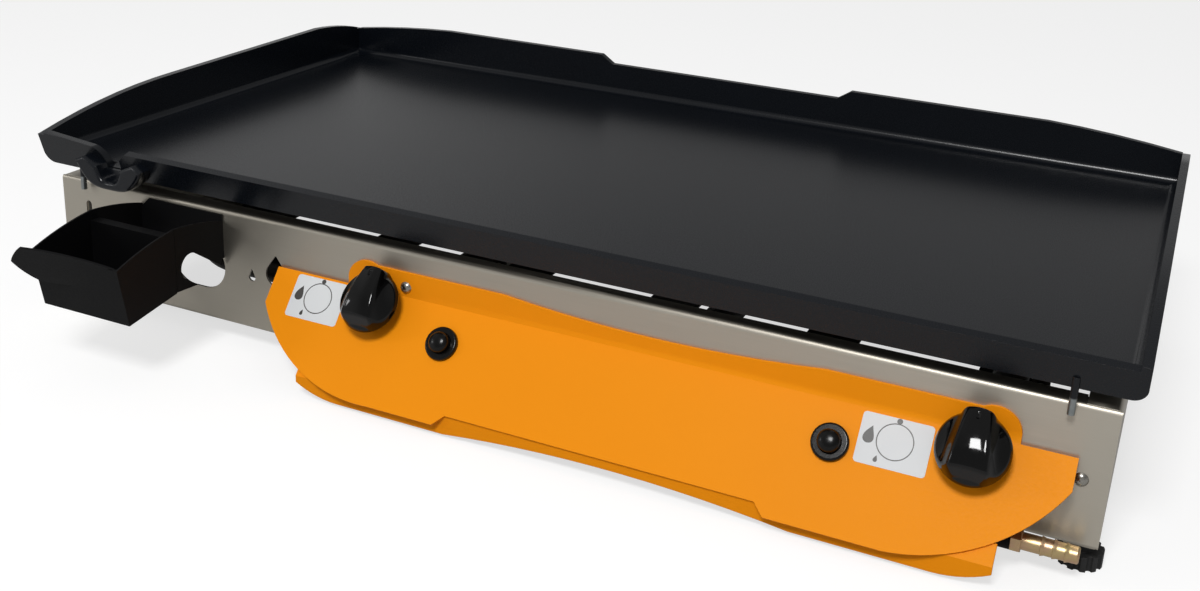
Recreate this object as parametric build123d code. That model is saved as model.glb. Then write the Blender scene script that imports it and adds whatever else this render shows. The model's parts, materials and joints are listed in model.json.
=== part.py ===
from build123d import *
import math
import os

# Tabletop gas griddle: an enamelled steel plate over two tube burners in a stainless chassis.
# Millimetres, +X to the right, +Y to the back, +Z up. While building, y = 0 is the chassis front
# and z = 0 the table; at the end everything moves so that the origin is at the bottom centre.

# Working margins of the cutting shapes, and how near a point must be to be picked
trim_margin = 20.0
cut_margin = 1.0
pick_margin = 0.01

# Chassis sheet metal
chassis_width = 800.0
chassis_depth = 400.0
chassis_height = 92.0
chassis_sheet = 1.5
chassis_bend = 3.0
front_flange = 14.0
side_flange = 20.0
corner_tab = 24.0
corner_tab_margin = 10.0
panel_gap = 0.3

# Rubber feet
foot_height = 17.5
foot_diameter = 28.0
foot_inset = 10.0
foot_disc = 10.0
foot_neck_diameter = 16.0
foot_lobes = 12
foot_screw_diameter = 5.0
foot_screw_head = 3.0
foot_screw_room = 0.5
foot_screw_grip = 5.0

# Griddle plate
plate_width = 822.4
plate_sheet = 6.0
deck_sheet = 8.0
plate_bend = 6.0
plate_outer_bend = 9.0
plate_front_overhang = 9.6
plate_back_overhang = 25.8
deck_rise = 110.0
lip_height = 12.9
lip_lean = 16.8
left_lip_rise = 4.6
side_wall_front = 16.4
side_wall_mid = 34.5
side_wall_peak = 37.2
side_wall_arch_end = 140.0
side_wall_arch = 4.3
side_wall_arch_share = 0.44
side_wall_fall = 2.2
side_wall_fall_share = 0.58
side_wall_peak_inset = 76.0
wall_corner = 25.0
back_wing = 36.4
back_recess = 28.4
back_recess_half = 112.0
back_step_run = 12.0
back_arch_run = 115.0
back_arch = 1.6

# Pouring spout under a notch in the front lip
spout_x = -336.5
spout_width = 31.0
spout_flare = 9.0
spout_corner = 9.0
spout_sheet = 4.0
spout_reach = 9.0
spout_drop = 15.0
spout_ear_height = 22.5
notch_left = 9.0
notch_right = 4.0
notch_round = 12.0
notch_round_bulge = 3.6
notch_round_rise = 2.0
notch_shoulder_fall = 2.6
notch_slant = 7.5

# Locating studs and rest brackets under the plate
stud_diameter = 4.5
stud_x = 372.5
stud_gap = 2.75
stud_end_rise = 86.0
rest_length = 40.0
rest_tab = 16.0
rest_front_y = 60.0

# Front panel cut-outs, heights above the chassis bottom edge
light_hole_x = -265.5
light_hole_height = 45.0
light_hole_width = 49.5
light_hole_tall = 39.5
large_drop_x = -193.0
large_drop_bottom = 39.5
large_drop_width = 19.0
large_drop_length = 25.0
small_drop_x = -215.5
small_drop_bottom = 39.7
small_drop_width = 6.0
small_drop_length = 10.0
drop_tip_share = 0.04
hook_slot_x = -374.0
hook_slot_top = 74.5
hook_slot_width = 5.5
hook_slot_length = 20.0
vent_count = 9
vent_length = 46.0
vent_width = 7.0
vent_pitch = 78.0
vent_low_row = 35.0
vent_high_row = 59.0

# Control panel: a flange on the chassis and a face that leans forward
panel_sheet = 2.0
panel_lean = 38.0
panel_bend = 3.0
fold_height = 58.2
face_left = -188.6
face_right = 381.0
face_wing_drop = 81.5
face_mid_drop = 73.5
face_step_left = -22.5
face_step_right = 206.0
face_step_run = 7.5
face_left_arc = 110.0
face_left_side = 28.0
face_left_bow_in = 38.5
face_left_bow_down = 64.4
face_right_arc = 97.0
face_right_side = 20.0
face_right_bow_in = 35.9
face_right_bow_down = 59.5
panel_flange_left = -126.6
panel_flange_right = 348.0
panel_flange_height = 18.4
panel_flange_dip = 6.5
panel_flange_dip_start = 0.0
panel_flange_dip_end = 228.0
panel_flange_corner = 12.0
panel_flange_bevel = 3.6

# Lower skirt behind the face's lower edge
skirt_left = -143.0
skirt_right = 346.8
skirt_depth = 15.2
skirt_arch = 7.6
skirt_end_rise = 9.0
skirt_flat_in = 36.0
skirt_flat_out = 122.0
skirt_end_bow_in = 16.2
skirt_end_bow_rise = 2.5
skirt_return = 14.0

# Controls, places on the leaning face: x, and distance down from the fold
left_knob_x = -97.0
right_knob_x = 323.6
knob_drop = 12.0
knob_diameter = 45.0
knob_skirt_height = 5.0
knob_height = 28.5
knob_gap = 12.0
knob_grip_width = 15.0
knob_taper = 16.0
knob_edge = 2.0
knob_scoop_share = 0.22
knob_roof = 2.5
knob_wall = 3.0
knob_mark_width = 2.0
knob_mark_length = 9.0
knob_mark_depth = 0.8
knob_travel = 3.0
knob_stop_gap = 0.5
stem_diameter = 8.0
stem_flat = 1.5
stem_clearance = 0.1
valve_body = 22.0
valve_length = 34.0
valve_setback = 3.0
valve_corner = 3.0
valve_neck = 6.0
valve_neck_diameter = 15.0
outlet_diameter = 14.0
outlet_depth = 20.95
stem_depth = 18.7
stem_floor_gap = 1.7
stem_opening = 1.0
left_button_x = -38.0
right_button_x = 239.0
button_drop = 26.5
button_diameter = 15.0
button_proud = 11.0
button_travel = 6.0
button_well = 20.0
button_floor_gap = 1.0
button_edge = 2.2
igniter_bezel_diameter = 24.0
igniter_bezel_height = 3.5
igniter_barrel_diameter = 20.0
igniter_length = 40.0
igniter_nut_thickness = 5.0
igniter_nut_corner = 13.4
igniter_bezel_edge = 1.5
igniter_tail_diameter = 6.0
igniter_tail_length = 10.0
opening_clearance = 3.0

# Gas rail in front of the chassis, with the hose nozzle at its right end
rail_y = -12.0
rail_rise = 1.4
left_clip_x = 52.5
right_clip_x = 202.8
rail_plug_depth = 10.0
rail_plug_hex = 16.0
rail_diameter = 14.0
rail_bore = 10.0
rail_left = -120.0
rail_right = 352.0
rail_clip_width = 12.0
rail_clip_tab = 16.0
riser_diameter = 9.0
gas_way = 5.0
nozzle_hex = 14.0
nozzle_hex_length = 6.0
nozzle_length = 33.0
nozzle_diameter = 10.6
nozzle_ring_diameter = 12.2
nozzle_bore = 5.0
nozzle_tip_length = 8.0
nozzle_ring_pitch = 7.0
nozzle_ring_run = 2.5
nozzle_ring_count = 3
nozzle_tip_round = 1.5
nozzle_thread = 12.0

# Burners
burner_diameter = 24.0
burner_wall = 1.5
burner_leg_pitch = 210.0
burner_rise = 34.0
burner_front_y = 40.0
burner_back_y = 340.0
burner_run_y = 42.0
burner_run_gap = 40.0
burner_bend = 45.0
port_diameter = 3.2
port_pitch = 15.0
port_count = 15
port_first_y = 90.0
injector_diameter = 11.0
injector_hex = 14.0
injector_hex_length = 5.0
injector_stand_off = 1.5
injector_entry = 8.0
cradle_width = 30.0
cradle_clearance = 0.15
cradle_foot = 15.0
cradle_front_inset = 20.0
cradle_back_inset = 24.0
cradle_ear_drop = 14.0
cradle_ear_rise = 8.0
electrode_diameter = 6.0
electrode_length = 44.0
electrode_tip_diameter = 2.4
electrode_tip_length = 16.0
electrode_offset = 21.0
electrode_collar = 4.0
electrode_collar_rise = 1.2

# Slotted shield under the burners
shield_front_y = 112.0
shield_back_y = 300.0
shield_sheet = 1.2
slot_first_x = -288.0
slot_pitch = 134.0
slot_count = 6
slot_length = 92.0
slot_front_y = 204.0
slot_width = 40.0
slot_edge_margin = 14.0

# Drip tray and its bracket, heights above the chassis bottom edge
tray_left = -320.0
tray_right = -241.0
tray_sheet = 1.5
bracket_depth = 52.2
bracket_top = 88.5
bracket_wall_back = 83.0
bracket_arch = 1.6
bracket_corner = 9.0
bracket_bottom_back = 40.0
bracket_bottom_front = 44.0
bracket_front_top = 84.0
bracket_slot_y = -37.0
bracket_slot_height = 59.5
bracket_slot_width = 20.0
bracket_slot_length = 70.0
bracket_slot_fall = 35.0
tray_gap = 0.3
tray_bottom_back = 43.5
tray_bottom_front = 36.4
tray_front_y = -101.4
tray_front_lean = 11.0
tray_wall_back = 93.0
tray_wall_mid = 88.7
tray_wall_front = 80.6
hook_length = 7.0
hook_drop = 8.0
grip_lean = 29.2
grip_turn = 13.3
grip_x = -285.0
grip_y = -106.3
grip_root_height = 59.5
grip_width = 82.0
grip_length = 36.0
grip_bulge = 3.5
grip_right_side = 23.4
grip_left_side = 19.8
grip_low_left = 24.6
grip_top_left = 27.9

# Fasteners
screw_head_diameter = 9.0
screw_head_height = 2.6
screw_diameter = 4.0
screw_clearance = 0.1
screw_length = 7.0
panel_screw_left_x = -78.0
panel_screw_right_x = 318.0
panel_screw_height = 65.0
corner_screw_inset = 16.0
corner_screw_height = 44.0

# Worked-out places
base = foot_height
chassis_top = base + chassis_height
half_width = chassis_width / 2
surface_height = base + deck_rise
stud_end_height = base + stud_end_rise
burner_height = base + burner_rise
rail_height = base + rail_rise
plate_half = plate_width / 2
plate_under = surface_height - deck_sheet
plate_front = -plate_front_overhang
plate_back = chassis_depth + plate_back_overhang
lean = math.radians(panel_lean)
face_plane = Plane(
    origin=(0, -panel_sheet, base + fold_height),
    x_dir=(1, 0, 0),
    z_dir=(0, -math.cos(lean), math.sin(lean)),
)


def section_plane(x):
    # Local x runs to the back, local y up
    return Plane(origin=(x, 0, 0), x_dir=(0, 1, 0), z_dir=(1, 0, 0))


def front_plane(y):
    # Local x runs to the right, local y up, seen from the front
    return Plane(origin=(0, y, 0), x_dir=(1, 0, 0), z_dir=(0, -1, 0))


def block(x0, x1, y0, y1, z0, z1):
    return Pos((x0 + x1) / 2, (y0 + y1) / 2, (z0 + z1) / 2) * Box(x1 - x0, y1 - y0, z1 - z0)


def rod(x, y, z, direction, radius, length):
    # A cylinder that starts at a point and runs along a direction
    start = Plane(origin=(x, y, z), z_dir=direction)
    return extrude(start * Circle(radius), amount=length)


def slab(points, plane, start, end):
    # A straight-sided outline on a plane, filled between two distances along its normal
    outline = make_face(Polyline(*points, close=True))
    return extrude(plane.offset(start) * outline, amount=end - start)


def on_face(x, drop, out):
    # A point of the leaning face, moved out along its normal
    point = face_plane.from_local_coords(Vector(x, -drop, out))
    return (point.X, point.Y, point.Z)


def face_spot(x, drop):
    return Plane(origin=on_face(x, drop, 0), x_dir=(1, 0, 0), z_dir=face_plane.z_dir)


def channel_section(flange, height):
    # Sheet bent to a C: web at local x = 0, flanges towards +x
    inner = Pos(chassis_sheet, chassis_sheet) * Rectangle(
        flange, height - 2 * chassis_sheet, align=(Align.MIN, Align.MIN)
    )
    section = Rectangle(flange, height, align=(Align.MIN, Align.MIN)) - inner
    webs = section.vertices().filter_by_position(Axis.X, -pick_margin, pick_margin)
    section = fillet(webs, chassis_bend)
    near, far = chassis_sheet - pick_margin, chassis_sheet + pick_margin
    return fillet(section.vertices().filter_by_position(Axis.X, near, far), chassis_bend - chassis_sheet)


def drop_outline(width, length):
    # A flame drop: round below, pointed above, with its lowest point at the origin
    radius = width / 2
    tip = drop_tip_share * width
    round_end = (Pos(0, radius) * Circle(radius)).edges()
    pointed_end = (Pos(0, length - tip) * Circle(tip)).edges()
    return make_hull(round_end + pointed_end)


def long_panel():
    # The front and rear panels, before their cut-outs
    section = Pos(0, base) * channel_section(front_flange, chassis_height)
    panel = extrude(section_plane(-half_width) * section, amount=chassis_width)
    corner = side_flange + panel_gap
    for side in (-1, 1):
        outer = side * (half_width + cut_margin)
        inner = side * (half_width - corner)
        x0, x1 = sorted((outer, inner))
        low, high = base - cut_margin, chassis_top + cut_margin
        panel -= block(x0, x1, chassis_sheet, front_flange + cut_margin, low, high)
    return panel


def screw_hole(x, z):
    radius = screw_diameter / 2 + screw_clearance
    return rod(x, -trim_margin, z, (0, 1, 0), radius, 2 * trim_margin)


def valve_cross_height():
    # Where a valve's axis passes the chassis front
    start = on_face(0, knob_drop, 0)
    return start[2] + start[1] * math.tan(lean)


def riser_cross_height():
    return rail_height - rail_y / math.tan(lean)


def igniter_cross_height():
    start = on_face(0, button_drop, 0)
    return start[2] + start[1] * math.tan(lean)


def lighting_hole(margin, depth):
    # A long round hole for a match, cut through the sheets around the chassis front
    hole = SlotOverall(light_hole_width + 2 * margin, light_hole_tall + 2 * margin)
    placed = Pos(light_hole_x, base + light_hole_height) * hole
    return extrude(front_plane(-depth) * placed, amount=-2 * depth)


def make_front_panel():
    panel = long_panel()
    face = front_plane(0)
    depth = 2 * chassis_sheet
    drops = (
        (large_drop_x, large_drop_bottom, large_drop_width, large_drop_length),
        (small_drop_x, small_drop_bottom, small_drop_width, small_drop_length),
    )
    for x, bottom, width, length in drops:
        outline = Pos(x, base + bottom) * drop_outline(width, length)
        panel -= extrude(face.offset(cut_margin) * outline, amount=-depth - cut_margin)
    slot_mid = base + hook_slot_top - hook_slot_length / 2
    slot = Pos(hook_slot_x, slot_mid) * Rot(0, 0, 90) * SlotOverall(hook_slot_length, hook_slot_width)
    panel -= extrude(face.offset(cut_margin) * slot, amount=-depth - cut_margin)
    panel -= lighting_hole(0, depth)
    valve_hole = valve_body + 2 * opening_clearance
    high = valve_cross_height() + valve_hole / math.cos(lean) / 2
    low = riser_cross_height() - riser_diameter / math.cos(lean) - opening_clearance
    for x in (left_knob_x, right_knob_x):
        hole = Pos(x, (high + low) / 2) * RectangleRounded(valve_hole, high - low, opening_clearance)
        panel -= extrude(face.offset(cut_margin) * hole, amount=-depth - cut_margin)
    igniter_hole = igniter_barrel_diameter + 2 * opening_clearance
    for x in (left_button_x, right_button_x):
        tall = igniter_hole / math.cos(lean) + igniter_barrel_diameter * math.tan(lean) / 2
        hole = Pos(x, igniter_cross_height()) * Rot(0, 0, 90) * SlotOverall(tall, igniter_hole)
        panel -= extrude(face.offset(cut_margin) * hole, amount=-depth - cut_margin)
    for x, z in panel_screw_places() + corner_screw_places() + clip_screw_places():
        panel -= screw_hole(x, z)
    return panel


def make_rear_panel():
    panel = long_panel()
    face = front_plane(0)
    for row in (vent_low_row, vent_high_row):
        for step in range(vent_count):
            x = (step - (vent_count - 1) / 2) * vent_pitch
            vent = Pos(x, base + row) * SlotOverall(vent_length, vent_width)
            panel -= extrude(face.offset(cut_margin) * vent, amount=-2 * chassis_sheet - cut_margin)
    for x, z in corner_screw_places():
        panel -= screw_hole(x, z)
    return Pos(0, chassis_depth, 0) * Rot(0, 0, 180) * panel


def make_side_panel(side):
    # Built on the right side, turned round for the left
    length = chassis_depth - 2 * chassis_sheet
    section = Pos(0, base) * channel_section(side_flange, chassis_height)
    along = Plane(origin=(half_width, chassis_sheet, 0), x_dir=(-1, 0, 0), z_dir=(0, 1, 0))
    panel = extrude(along * section, amount=length)
    low = base + corner_tab_margin
    high = chassis_top - corner_tab_margin
    inner = half_width - corner_tab
    outer = half_width - chassis_sheet / 2
    for start in (chassis_sheet, chassis_depth - 2 * chassis_sheet):
        panel += block(inner, outer, start, start + chassis_sheet, low, high)
    screw_x, screw_z = corner_screw_places()[1]
    screw_radius = screw_diameter / 2 + screw_clearance
    panel -= rod(screw_x, 0, screw_z, (0, 1, 0), screw_radius, chassis_depth)
    hole_depth = chassis_sheet + 2 * cut_margin
    for y in foot_rows():
        start = base - cut_margin
        panel -= rod(half_width - foot_inset, y, start, (0, 0, 1), foot_screw_diameter / 2, hole_depth)
    if side < 0:
        panel = Pos(0, chassis_depth, 0) * Rot(0, 0, 180) * panel
    return panel


def foot_rows():
    return (foot_diameter / 2 + chassis_sheet, chassis_depth - foot_diameter / 2 - chassis_sheet)


def foot_places():
    reach = half_width - foot_inset
    return [(side * reach, y) for side in (-1, 1) for y in foot_rows()]


def make_foot(x, y):
    # A scalloped disc under a narrower neck, screwed up into the chassis
    radius = foot_diameter / 2
    lobe = math.pi * radius / foot_lobes / 2
    outline = Circle(radius)
    for step in range(foot_lobes):
        turn = 2 * math.pi * step / foot_lobes
        outline -= Pos(radius * math.cos(turn), radius * math.sin(turn)) * Circle(lobe)
    foot = extrude(outline, amount=foot_disc)
    foot += extrude(Circle(foot_neck_diameter / 2), amount=foot_height)
    foot -= extrude(Circle(foot_screw_diameter), amount=foot_disc / 2)
    foot -= extrude(Circle(foot_screw_diameter / 2), amount=foot_height)
    return Pos(x, y, 0) * foot


def make_foot_screw(x, y):
    seat = foot_disc / 2
    head = extrude(Circle(foot_screw_diameter - foot_screw_room), amount=-foot_screw_head)
    shank_radius = foot_screw_diameter / 2 - screw_clearance
    shank = extrude(Circle(shank_radius), amount=foot_height - seat + foot_screw_grip)
    return Pos(x, y, seat) * (head + shank)


def plate_form(inset, under, top):
    # The tray form as a solid, at a distance inside the walls' outer faces
    slope = math.tan(math.radians(lip_lean))
    lip_top = surface_height + lip_height
    front = plate_front + inset / math.cos(math.radians(lip_lean))
    front_low = front + (lip_top - under) * slope
    front_high = front + (lip_top - top) * slope
    back = plate_back - inset
    corners = ((front_low, under), (front_high, top), (back, top), (back, under))
    half = plate_half - inset
    return extrude(section_plane(-half) * make_face(Polyline(*corners, close=True)), amount=2 * half)


def plate_outside(top):
    # Rounded underneath at the sides and back, square along the lip
    form = plate_form(0, plate_under, top)
    low_edges = form.edges().group_by(Axis.Z)[0].sort_by(Axis.Y)
    return fillet(low_edges[1:], plate_outer_bend)


def plate_inside(top):
    form = plate_form(plate_sheet, surface_height, top)
    return fillet(form.edges().group_by(Axis.Z)[0], plate_bend)


def side_wall_waste(top):
    # What lies above the arched side walls, as an outline seen from the side
    front = plate_front - trim_margin
    behind = plate_back + trim_margin
    start = (plate_front, surface_height + side_wall_front)
    arch_end = (side_wall_arch_end, surface_height + side_wall_mid)
    arch_mid = arch_point(start, arch_end, side_wall_arch_share, side_wall_arch)
    peak = (plate_back - side_wall_peak_inset, surface_height + side_wall_peak)
    end = (plate_back, surface_height + wall_corner)
    fall_mid = arch_point(peak, end, side_wall_fall_share, side_wall_fall)
    edges = [
        Polyline((front, top), (front, start[1]), start),
        ThreePointArc(start, arch_mid, arch_end),
        Line(arch_end, peak),
        ThreePointArc(peak, fall_mid, end),
        Polyline(end, (behind, end[1]), (behind, top), (front, top)),
    ]
    return make_face(edges)


def arch_point(start, end, share, rise):
    # A point part of the way along a chord, lifted above it
    x = start[0] + (end[0] - start[0]) * share
    y = start[1] + (end[1] - start[1]) * share
    return (x, y + rise)


def back_wall_waste(top):
    # What lies above the back wall: arched wings with a lower stretch between sloped steps
    corner = (plate_half, surface_height + wall_corner)
    wing = (plate_half - back_arch_run, surface_height + back_wing)
    step_high = (back_recess_half + back_step_run, surface_height + back_wing)
    step_low = (back_recess_half, surface_height + back_recess)
    beside = plate_half + trim_margin
    outer = Polyline((0, top), (beside, top), (beside, corner[1]), corner)
    arch = ThreePointArc(corner, arch_point(corner, wing, 0.5, back_arch), wing)
    inner = Polyline(wing, step_high, step_low, (0, step_low[1]), (0, top))
    right = make_face([outer, arch, inner])
    return right + mirror(right, about=Plane.YZ)


def lip_waste(rise, top):
    # What lies above the front lip, cut square to its leaning sheet
    slope = math.radians(lip_lean)
    across = trim_margin
    corner = (plate_front - rise * math.tan(slope), surface_height + lip_height + rise)
    back = (corner[0] + across * math.cos(slope), corner[1] + across * math.sin(slope))
    front = (corner[0] - across * math.cos(slope), corner[1] - across * math.sin(slope))
    return make_face(Polyline(front, back, (back[0], top), (front[0], top), close=True))


def spout_gap():
    # The notch in the lip: the left stretch falls gently to a round end, the right one starts on a slant
    left = spout_x - notch_left
    right = spout_x + notch_right
    low = surface_height
    high = low + side_wall_peak
    left_top = low + lip_height + left_lip_rise
    corner = (plate_sheet - plate_half, left_top + plate_sheet * math.sin(math.radians(lip_lean)))
    shoulder = (left - notch_round, left_top - notch_shoulder_fall)
    round_foot = (left, low + notch_round_rise)
    edges = [
        Line(corner, shoulder),
        ThreePointArc(shoulder, arch_point(shoulder, round_foot, 0.5, notch_round_bulge), round_foot),
        Polyline(
            round_foot,
            (left, low),
            (right, low),
            (right, low + lip_height / 2),
            (right + notch_slant, low + lip_height),
            (right + notch_slant, high),
            (corner[0], high),
            corner,
        ),
    ]
    depth = trim_margin + plate_sheet + 2 * plate_bend
    return extrude(front_plane(plate_front - trim_margin) * make_face(edges), amount=-depth)


def make_griddle_plate():
    high = surface_height + side_wall_peak + trim_margin
    plate = plate_outside(high) - plate_inside(high + cut_margin)
    above = high + trim_margin
    inner = plate_half - plate_sheet
    side_waste = side_wall_waste(above)
    for start in (-plate_half - trim_margin, inner):
        plate -= extrude(section_plane(start) * side_waste, amount=plate_sheet + trim_margin)
    back_start = plate_back - plate_sheet - plate_bend / 2
    plate -= extrude(front_plane(back_start) * back_wall_waste(above), amount=-plate_sheet - trim_margin)
    plate -= extrude(section_plane(-inner) * lip_waste(left_lip_rise, above), amount=inner + spout_x)
    plate -= extrude(section_plane(spout_x) * lip_waste(0, above), amount=inner - spout_x)
    return plate - spout_gap()


def spout_section(inset, top):
    # A U with flared walls and rounded lower corners, seen from the front
    floor = surface_height - spout_drop + inset
    flare = spout_flare * (top - floor) / spout_ear_height
    low_half = spout_width / 2 - inset
    high_half = low_half + flare
    points = ((-high_half, top), (-low_half, floor), (low_half, floor), (high_half, top))
    section = Pos(spout_x, 0) * make_face(Polyline(*points, close=True))
    low_corners = section.vertices().sort_by(Axis.Y)[:2]
    return fillet(low_corners, spout_corner - inset)


def make_pour_spout():
    # A short trough under the notch in the lip, closed behind where it meets the plate
    front = plate_front - spout_reach
    top = surface_height - spout_drop + spout_ear_height
    back = plate_sheet + plate_bend
    spout = extrude(front_plane(front) * spout_section(0, top), amount=front - back)
    mouth = front - cut_margin
    inside = front_plane(mouth) * spout_section(spout_sheet, top + cut_margin)
    return spout - extrude(inside, amount=mouth + spout_sheet)


def outside_plate(piece):
    # Trims a welded piece to the plate's outer surface and keeps its largest solid
    outside = plate_outside(surface_height + side_wall_peak)
    trimmed = piece - outside
    return max(trimmed.solids(), key=lambda solid: solid.volume)


def stud_rows():
    return (-stud_gap - stud_diameter / 2, chassis_depth + stud_gap + stud_diameter / 2)


def make_studs():
    length = surface_height - stud_end_height
    studs = []
    for x in (-stud_x, stud_x):
        for y in stud_rows():
            studs.append(outside_plate(rod(x, y, stud_end_height, (0, 0, 1), stud_diameter / 2, length)))
    return studs


def make_rest_bracket(side, y):
    # Bent Z: base tab on the side flange, riser, and the tab that carries the plate
    sheet = chassis_sheet
    base_in = half_width - side_flange
    points = (
        (half_width - chassis_bend, chassis_top),
        (base_in, chassis_top),
        (base_in, plate_under - sheet),
        (base_in - rest_tab, plate_under - sheet),
        (base_in - rest_tab, plate_under),
        (base_in + sheet, plate_under),
        (base_in + sheet, chassis_top + sheet),
        (half_width - chassis_bend, chassis_top + sheet),
    )
    bracket = slab(points, front_plane(y), 0, -rest_length)
    if side < 0:
        bracket = bracket.mirror(Plane.YZ)
    return bracket


def rest_rows():
    return (rest_front_y, chassis_depth - rest_front_y - rest_length)


def make_shield():
    edge = half_width - chassis_bend - panel_gap
    low = base + chassis_sheet
    shield = block(-edge, edge, shield_front_y, shield_back_y, low, low + shield_sheet)
    for step in range(slot_count):
        mid = slot_first_x + step * slot_pitch
        start = max(mid - slot_length / 2, -edge + slot_edge_margin + side_flange / 3)
        end = min(mid + slot_length / 2, edge - slot_edge_margin)
        under, over = low - cut_margin, low + shield_sheet + cut_margin
        shield -= block(start, end, slot_front_y, slot_front_y + slot_width, under, over)
    return shield


def burner_path(x, end_gap):
    # From the inlet to the back, across, forward again and along the front to a closed end
    far = x - burner_leg_pitch
    corners = (
        (x, burner_front_y, burner_height),
        (x, burner_back_y, burner_height),
        (far, burner_back_y, burner_height),
        (far, burner_run_y, burner_height),
        (x - end_gap, burner_run_y, burner_height),
    )
    return FilletPolyline(*corners, radius=burner_bend)


def make_burner(x):
    start = Plane(origin=(x, burner_front_y, burner_height), x_dir=(1, 0, 0), z_dir=(0, 1, 0))
    radius = burner_diameter / 2
    tube = sweep(start * Circle(radius), path=burner_path(x, burner_run_gap))
    end_wall = burner_run_gap + 2 * burner_wall
    tube -= sweep(start * Circle(radius - burner_wall), path=burner_path(x, end_wall))
    for leg in (x, x - burner_leg_pitch):
        for step in range(port_count):
            y = port_first_y + step * port_pitch
            tube -= rod(leg, y, burner_height, (0, 0, 1), port_diameter / 2, radius + cut_margin)
    return tube


def cradle_rows():
    return (shield_front_y + cradle_front_inset, shield_back_y - cradle_back_inset)


def make_cradle(x, y, with_ear):
    # An angle on the shield whose upright holds the tube in a half-round notch
    low = base + chassis_sheet + shield_sheet
    half = cradle_width / 2
    upright = block(x - half, x + half, y, y + chassis_sheet, low, burner_height)
    foot = block(x - half, x + half, y, y + cradle_foot, low, low + chassis_sheet)
    cradle = upright + foot
    if with_ear:
        reach = electrode_offset + electrode_diameter
        ear_low, ear_high = burner_height - cradle_ear_drop, burner_height + cradle_ear_rise
        cradle += block(x + half, x + reach, y, y + chassis_sheet, ear_low, ear_high)
        hole = electrode_diameter / 2 + cradle_clearance
        cradle -= rod(x + electrode_offset, y, burner_height, (0, 1, 0), hole, chassis_sheet)
    notch = burner_diameter / 2 + cradle_clearance
    return cradle - rod(x, y, burner_height, (0, 1, 0), notch, cradle_foot)


def make_cradles(x):
    front, back = cradle_rows()
    other = x - burner_leg_pitch
    return [make_cradle(x, front, True), make_cradle(other, back, False), make_cradle(x, back, False)]


def make_electrode(x):
    y = cradle_rows()[0] - electrode_length / 2
    place = x + electrode_offset
    ceramic = rod(place, y, burner_height, (0, 1, 0), electrode_diameter / 2, electrode_length)
    collar_y = cradle_rows()[0] - electrode_collar
    collar_radius = electrode_diameter / 2 + electrode_collar_rise
    collar = rod(place, collar_y, burner_height, (0, 1, 0), collar_radius, electrode_collar)
    tip_y = y + electrode_length
    tip = rod(place, tip_y, burner_height, (0, 1, 0), electrode_tip_diameter / 2, electrode_tip_length)
    return ceramic + collar + tip


def injector_start():
    # Where the outlet ends, just behind the valve's rearmost corner
    return on_face(0, knob_drop - valve_body / 2, -valve_setback - valve_length)[1] + injector_stand_off


def valve_outlet():
    # The point inside the valve from which its outlet runs to the back
    return on_face(0, knob_drop, -valve_setback - outlet_depth)


def riser_length():
    # From the rail's axis up to the valve's axis, parallel to the leaning face
    across = (rail_y + panel_sheet) * math.sin(lean)
    return (base + fold_height - rail_height) * math.cos(lean) - across - knob_drop


def make_valve(x):
    spot = face_spot(x, knob_drop)
    square = RectangleRounded(valve_body, valve_body, valve_corner)
    valve = extrude(spot.offset(-valve_setback - valve_neck) * square, amount=valve_neck - valve_length)
    neck = Circle(valve_neck_diameter / 2)
    valve += extrude(spot.offset(-valve_setback) * neck, amount=-valve_neck - cut_margin)
    outlet = valve_outlet()
    valve += rod(x, outlet[1], outlet[2], (0, 1, 0), outlet_diameter / 2, injector_start() - outlet[1])
    up_slope = (0, math.sin(lean), math.cos(lean))
    valve += rod(x, rail_y, rail_height, up_slope, riser_diameter / 2, riser_length())
    valve -= rod(x, rail_y, rail_height, up_slope, gas_way / 2, riser_length())
    stem_hole = stem_diameter / 2 + stem_clearance
    hole_floor = valve_setback + stem_depth + stem_floor_gap
    valve -= extrude(spot * Circle(stem_hole), amount=-hole_floor)
    rail_skin = rod(rail_left, rail_y, rail_height, (1, 0, 0), rail_diameter / 2, rail_right - rail_left)
    valve -= rail_skin
    return max(valve.solids(), key=lambda solid: solid.volume)


def make_stem(x):
    spot = face_spot(x, knob_drop)
    bottom = -valve_setback - stem_depth
    top = knob_height - knob_roof - knob_travel - knob_stop_gap
    stem = extrude(spot.offset(bottom) * Circle(stem_diameter / 2), amount=top - bottom)
    flat_start = knob_gap - knob_travel - knob_stop_gap
    cut = Pos(0, -stem_diameter / 2) * Rectangle(2 * stem_diameter, 2 * stem_flat)
    return stem - extrude(spot.offset(flat_start) * cut, amount=top)


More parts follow.
